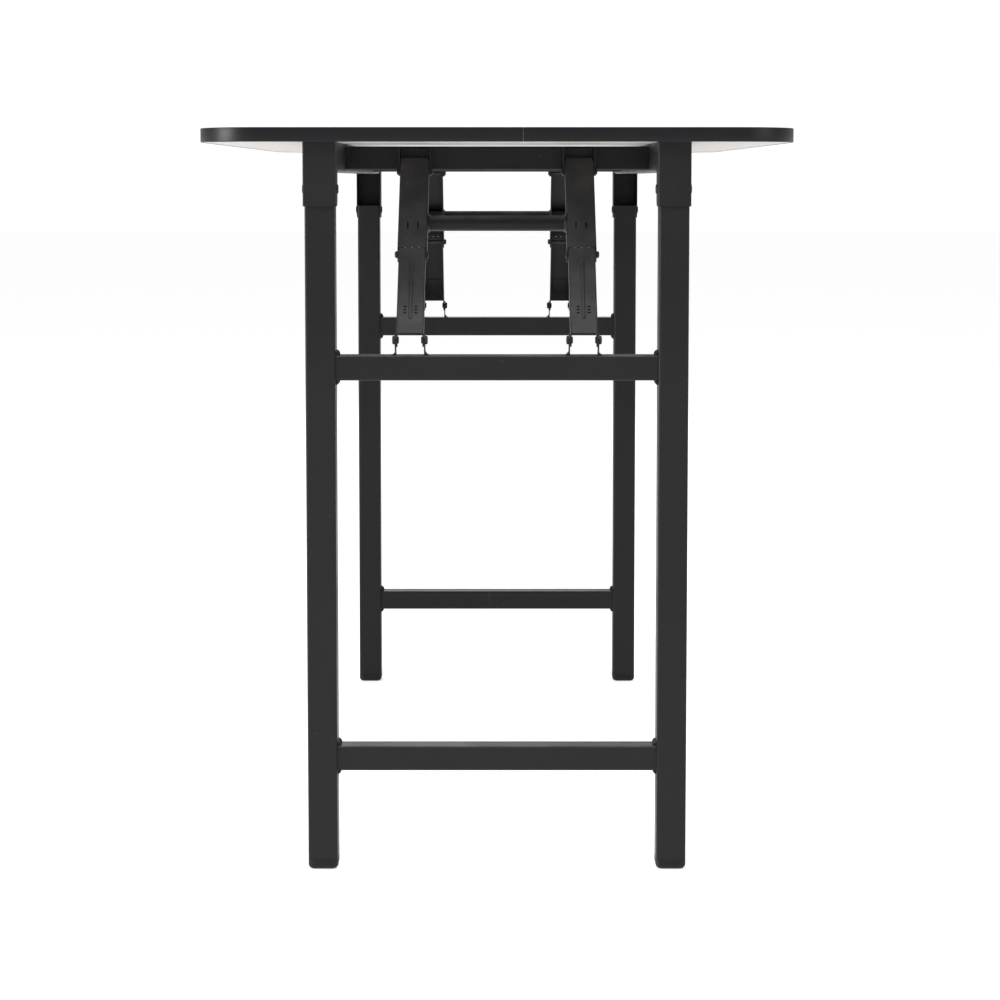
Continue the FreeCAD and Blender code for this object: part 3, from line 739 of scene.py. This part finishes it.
class TABLE_OT_rivets(bpy.types.Operator):
    """Sets every pin and rivet of the leg pivots and the braces, with peened heads"""
    bl_idname = "table.rivets"
    bl_label = "Set Pins And Rivets"

    def execute(self, context):
        for end in ENDS:
            self.hinge_pins(end, "_leg_fold", "leg_bracket", "_leg_pins", "_leg_pivot_pins",
                            sizes().leg_shank)
            self.hinge_pins(end, "_brace_top_pivot", "brace_clip", "_brace_top_pins", "_clip_pins",
                            sizes().shank)
            self.lug_rivets(end)
            for side in SIDES:
                self.knee_pin(end, side)
                self.tails(end, side)
        return {"FINISHED"}

    def hinge_pins(self, end, joint, holder, node, name, shank):
        """A pin on the joint's axis through each of its two holders, left and right."""
        low, high = (Vector(corner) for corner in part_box(end + node))
        radius = (high.z - low.z) / 2
        height = high.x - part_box(end + "_right_" + holder)[1][0]
        y, z = JOINTS[end + joint]["pos_m"][1:]
        pins = []
        for side in SIDES:
            a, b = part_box(end + "_" + side + "_" + holder)
            pins.append(self.pin(a[0], b[0], y, z, shank, radius, height, height))
        self.finish_set(end + name, pins, "table_top", end + node)

    def lug_rivets(self, end):
        node = end + "_lug_rivets"
        low, high = (Vector(corner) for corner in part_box(node))
        radius = (high.z - low.z) / 2
        height = sizes().lug_head
        y, z = (low.y + high.y) / 2, (low.z + high.z) / 2
        rivets = []
        for side in SIDES:
            x = JOINTS[end + "_" + side + "_brace_knee"]["pos_m"][0]
            outer = high.x - height - abs(x)
            for toward in (-1, 1):
                rivets.append(self.head(x + toward * outer, toward, y, z, sizes().shank, radius,
                                        height, LUG_PLATE))
        self.finish_set(end + "_lug_rivet_set", rivets, end + "_leg_frame", node)

    def knee_pin(self, end, side):
        stem = end + "_" + side + "_brace_"
        node = stem + "knee_pin"
        a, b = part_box(stem + "upper_link")
        low, high = (Vector(corner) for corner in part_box(node))
        y, z = JOINTS[stem + "knee"]["pos_m"][1:]
        radius = (high.z - low.z) / 2
        pin = self.pin(a[0], b[0], y, z, sizes().shank, radius, a[0] - low.x, high.x - b[0])
        self.finish_set(stem + "knee_rivet", [pin], end + "_" + side + "_lower_brace", node)

    def tails(self, end, side):
        stem = end + "_" + side + "_brace_"
        node = stem + "rivet_tails"
        low, high = (Vector(corner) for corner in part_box(node))
        radius = (high.z - low.z) / 2
        y, z = (low.y + high.y) / 2, (low.z + high.z) / 2
        tails = [self.head(face + toward * LINK_SHEET, toward, y, z, sizes().shank, radius,
                           TAIL_RISE, LINK_SHEET)
                 for face, toward in ((low.x, 1), (high.x, -1))]
        self.finish_set(stem + "tail_pair", tails, end + "_" + side + "_lower_brace", node)

    def pin(self, x0, x1, y, z, shank, radius, left, right):
        """A pin from x0 to x1 with a head of its own height at each end."""
        slimmer = 0.96          # keeps the second shank inside the first
        one = self.head(x0, -1, y, z, shank, radius, left, x1 - x0)
        two = self.head(x1, 1, y, z, shank * slimmer, radius, right, LINK_SHEET / 2)
        return join("pin", [one, two])

    def head(self, seat, toward, y, z, shank, radius, height, depth):
        """A peened head on the face at seat, and a shank that runs back from it by depth."""
        rivet = add_disc("rivet", seat, toward, y, z, radius, height)
        outer = seat + toward * height
        rounding = min(height * 0.62, radius * 0.55)
        rim = radius * 0.10
        hollow = height * 0.09  # depth of the dish that peening leaves
        edit(rivet)
        pick_edges(rivet, lambda e: at_x(e, outer))
        bpy.ops.mesh.bevel(offset=rounding, segments=5, affect="EDGES", profile=0.5)
        pick_faces(rivet, lambda f: at_x(f, outer))
        bpy.ops.mesh.inset(thickness=rim)
        self.slide(-toward * hollow)
        pick_faces(rivet, lambda f: at_x(f, seat))
        bpy.ops.mesh.inset(thickness=radius - shank)
        self.slide(-toward * depth)
        bpy.ops.object.mode_set(mode="OBJECT")
        return rivet

    def slide(self, distance):
        bpy.ops.mesh.extrude_region_move(TRANSFORM_OT_translate={"value": (distance, 0, 0)})

    def finish_set(self, name, pieces, body, node):
        whole = join(name, pieces)
        close_up(whole, 30.0)
        fit_out(whole, body, "pin_metal", MATERIALS["pin_metal"], node)


class TABLE_OT_stage(bpy.types.Operator):
    """Lays a pale floor and sets the soft studio light and the camera"""
    bl_idname = "table.stage"
    bl_label = "Set Stage"

    def execute(self, context):
        self.floor()
        self.sky(context.scene)
        context.scene.view_settings.view_transform = "Standard"
        self.lights()
        self.camera(context.scene)
        return {"FINISHED"}

    def floor(self):
        width = 60.0
        below = 0.0005          # clear of the soles, which stand at height 0
        clear_selection()
        bpy.ops.mesh.primitive_plane_add(size=width, location=(0, 0, -below))
        floor = bpy.context.object
        floor.name = "studio_floor"
        material, tree, shader = new_material("studio_floor")
        shader.inputs["Base Color"].default_value = (*finishes().floor, 1.0)
        shader.inputs["Roughness"].default_value = 0.9
        shader.inputs["Specular IOR Level"].default_value = 0.0
        shader.inputs["Emission Color"].default_value = (1.0, 1.0, 1.0, 1.0)
        shader.inputs["Emission Strength"].default_value = 0.55
        floor.data.materials.append(material)

    def sky(self, scene):
        """White to the camera and a soft grey to everything else, as in a light tent."""
        world = bpy.data.worlds.new("studio")
        world.use_nodes = True
        scene.world = world
        tree = world.node_tree
        back = next(n for n in tree.nodes if n.type == "BACKGROUND")
        back.inputs["Color"].default_value = (1.0, 1.0, 1.0, 1.0)
        as_light = 0.50
        as_seen = 1.05
        path = tree.nodes.new("ShaderNodeLightPath")
        strength = tree.nodes.new("ShaderNodeMapRange")
        strength.inputs["To Min"].default_value = as_light
        strength.inputs["To Max"].default_value = as_seen
        tree.links.new(path.outputs["Is Camera Ray"], strength.inputs["Value"])
        tree.links.new(strength.outputs["Result"], back.inputs["Strength"])

    def lights(self):
        """Square soft lamps. Places and sizes are in metres, power in watts."""
        for name, place, target, size, power in (
                ("top_softbox", (0.2, -1.9, 3.2), (0, -0.6, 0.5), 2.6, 90.0),
                ("left_softbox", (-3.1, -1.3, 0.9), (0, -0.4, 0.7), 1.3, 75.0),
                ("right_softbox", (3.0, -1.8, 1.4), (0, -0.2, 0.5), 1.6, 16.0),
                ("back_softbox", (-0.6, 3.8, 2.6), (0, 0.4, 0.4), 2.4, 50.0)):
            data = bpy.data.lights.new(name, "AREA")
            data.size = size
            data.energy = power
            lamp = bpy.data.objects.new(name, data)
            bpy.context.scene.collection.objects.link(lamp)
            lamp.location = place
            aim = Vector(target) - Vector(place)
            lamp.rotation_euler = aim.to_track_quat("-Z", "Y").to_euler()

    def camera(self, scene):
        """A long lens a little below the board's level, tipped downwards."""
        distance = 2.934        # from the middle of the table, towards the near end
        height = 0.6989
        tip = 4.67              # degrees below the horizontal
        data = bpy.data.cameras.new("camera")
        data.sensor_width = 36.0
        data.lens = 88.556
        data.shift_x = 0.003
        data.shift_y = -0.12
        camera = bpy.data.objects.new("camera", data)
        scene.collection.objects.link(camera)
        camera.location = (0.0, -distance, height)
        camera.rotation_euler = (math.radians(90.0 - tip), 0.0, 0.0)
        scene.camera = camera


class TABLE_PT_panel(bpy.types.Panel):
    """Lists the table's settings and the steps that build it"""
    bl_idname = "TABLE_PT_panel"
    bl_label = "Folding Table"
    bl_space_type = "VIEW_3D"
    bl_region_type = "UI"
    bl_category = "Table"

    def draw(self, context):
        layout = self.layout
        for group in (context.scene.table_sizes, context.scene.table_finishes):
            box = layout.box()
            for name in group.__annotations__:
                box.prop(group, name)
        for step in STEPS:
            layout.operator(step.bl_idname)


STEPS = (TABLE_OT_finish_frame, TABLE_OT_edge_band, TABLE_OT_foot_caps, TABLE_OT_weld_beads,
         TABLE_OT_rivets, TABLE_OT_stage)
CLASSES = (TableSizes, TableFinishes) + STEPS + (TABLE_PT_panel,)


def register():
    for item in CLASSES:
        bpy.utils.register_class(item)
    bpy.types.Scene.table_sizes = bpy.props.PointerProperty(type=TableSizes)
    bpy.types.Scene.table_finishes = bpy.props.PointerProperty(type=TableFinishes)


def unregister():
    del bpy.types.Scene.table_finishes
    del bpy.types.Scene.table_sizes
    for item in reversed(CLASSES):
        bpy.utils.unregister_class(item)


def main():
    register()
    bpy.ops.table.finish_frame()
    bpy.ops.table.edge_band()
    bpy.ops.table.foot_caps()
    bpy.ops.table.weld_beads()
    bpy.ops.table.rivets()
    bpy.ops.table.stage()


if __name__ == "__main__":
    main()
